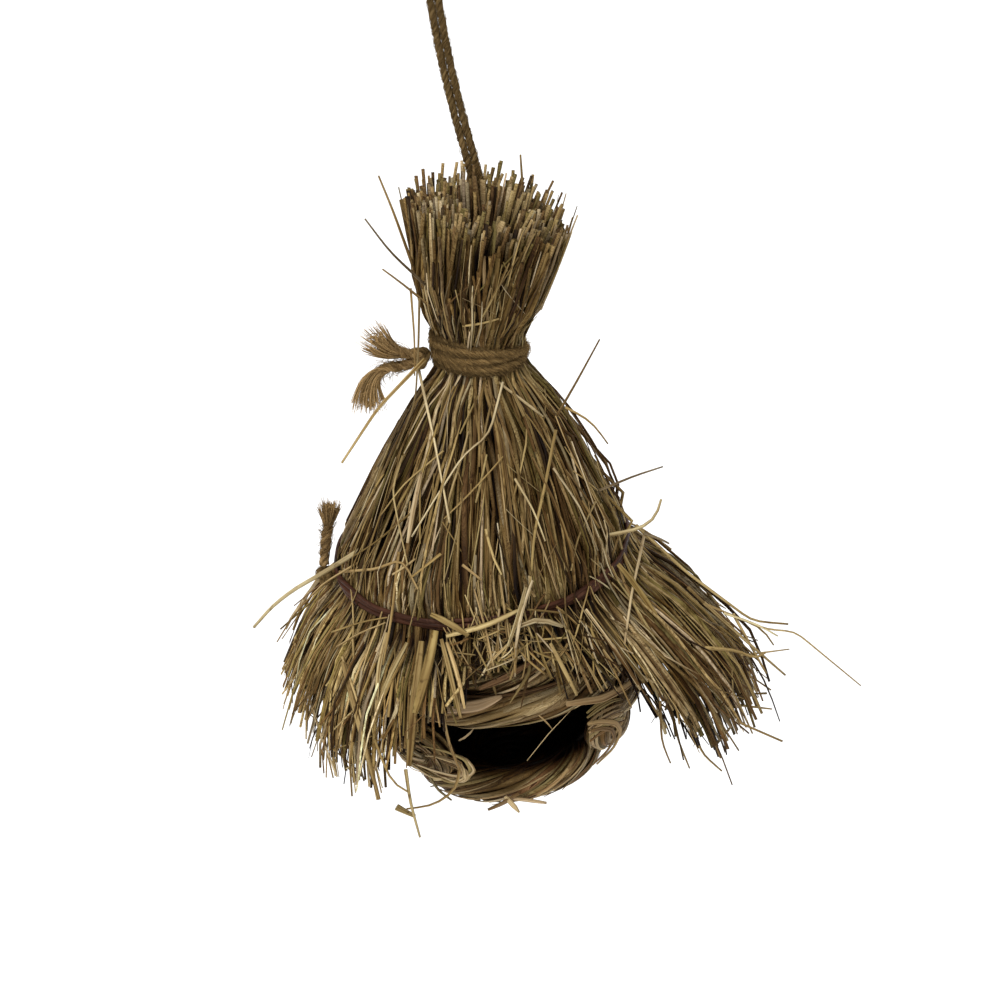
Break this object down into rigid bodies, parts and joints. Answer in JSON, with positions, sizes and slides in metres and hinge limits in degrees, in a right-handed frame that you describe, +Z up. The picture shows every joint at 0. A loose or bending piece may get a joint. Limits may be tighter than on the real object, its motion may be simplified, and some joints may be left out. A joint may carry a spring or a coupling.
{
  "type": "hanging thatched insect house",
  "caption": "Hanging straw shelter: a bundle of straw tied at the neck and spread as a thatch over a hollow ball of coiled leaf rope with a slot entrance, on a jute cord with a loop.",
  "frame": {"origin": "inside top of the hanging loop, where a hook bears", "axes": "+Z up, -Y the way the entrance faces, +X to the right seen from the front"},
  "size_m": [0.2529, 0.1874, 0.4054],
  "materials": {
    "straw": "matt dried grass stalks",
    "leaf_rope": "matt twisted dried leaf",
    "jute": "hairy twisted jute",
    "cane": "smooth dark red-brown bark"
  },
  "bodies": {
    "hanger": {"hang_loop": "jute"},
    "knot": {"loop_knot": "jute"},
    "cord": {"cord_leg_left": "jute", "cord_leg_right": "jute"},
    "nest": {"anchor_knot": "jute", "band_cane_lower": "cane", "band_cane_middle": "cane", "band_cane_upper": "cane", "binding_end_lower": "jute", "binding_end_upper": "jute", "binding_knot": "jute", "binding_turn_lower": "jute", "binding_turn_middle": "jute", "binding_turn_upper": "jute", "cord_tail": "jute", "rope_base_button": "leaf_rope", "rope_base_ring": "leaf_rope", "rope_brow": "leaf_rope", "rope_crown": "leaf_rope", "rope_fold_left": "leaf_rope", "rope_fold_right": "leaf_rope", "rope_lower_lip": "leaf_rope", "rope_shoulder": "leaf_rope", "rope_side_lower": "leaf_rope", "rope_side_upper": "leaf_rope", "rope_upper_lip": "leaf_rope", "row_seams": "leaf_rope", "straw_inner_01": "straw", "straw_inner_02": "straw", "straw_inner_03": "straw", "straw_inner_04": "straw", "straw_inner_05": "straw", "straw_inner_06": "straw", "straw_inner_07": "straw", "straw_inner_08": "straw", "straw_outer_01": "straw", "straw_outer_02": "straw", "straw_outer_03": "straw", "straw_outer_04": "straw", "straw_outer_05": "straw", "straw_outer_06": "straw", "straw_outer_07": "straw", "straw_outer_08": "straw", "straw_outer_09": "straw", "straw_outer_10": "straw", "straw_outer_11": "straw", "straw_outer_12": "straw", "stray_stalks": "straw", "tie_end": "jute", "tie_knot": "jute"}
  },
  "joints": [
    {"name": "cord_turn", "type": "hinge", "parent": "hanger", "child": "knot", "pos_m": [0, 0, -0.042], "axis": [0, 0, 1], "range_deg": [-180, 180]},
    {"name": "cord_swing", "type": "hinge", "parent": "knot", "child": "cord", "pos_m": [0, 0, -0.042], "axis": [0, 1, 0], "range_deg": [-30, 30]},
    {"name": "nest_swing", "type": "hinge", "parent": "cord", "child": "nest", "pos_m": [0.0094, 0.006, -0.139], "axis": [1, 0, 0], "range_deg": [-25, 25]}
  ]
}
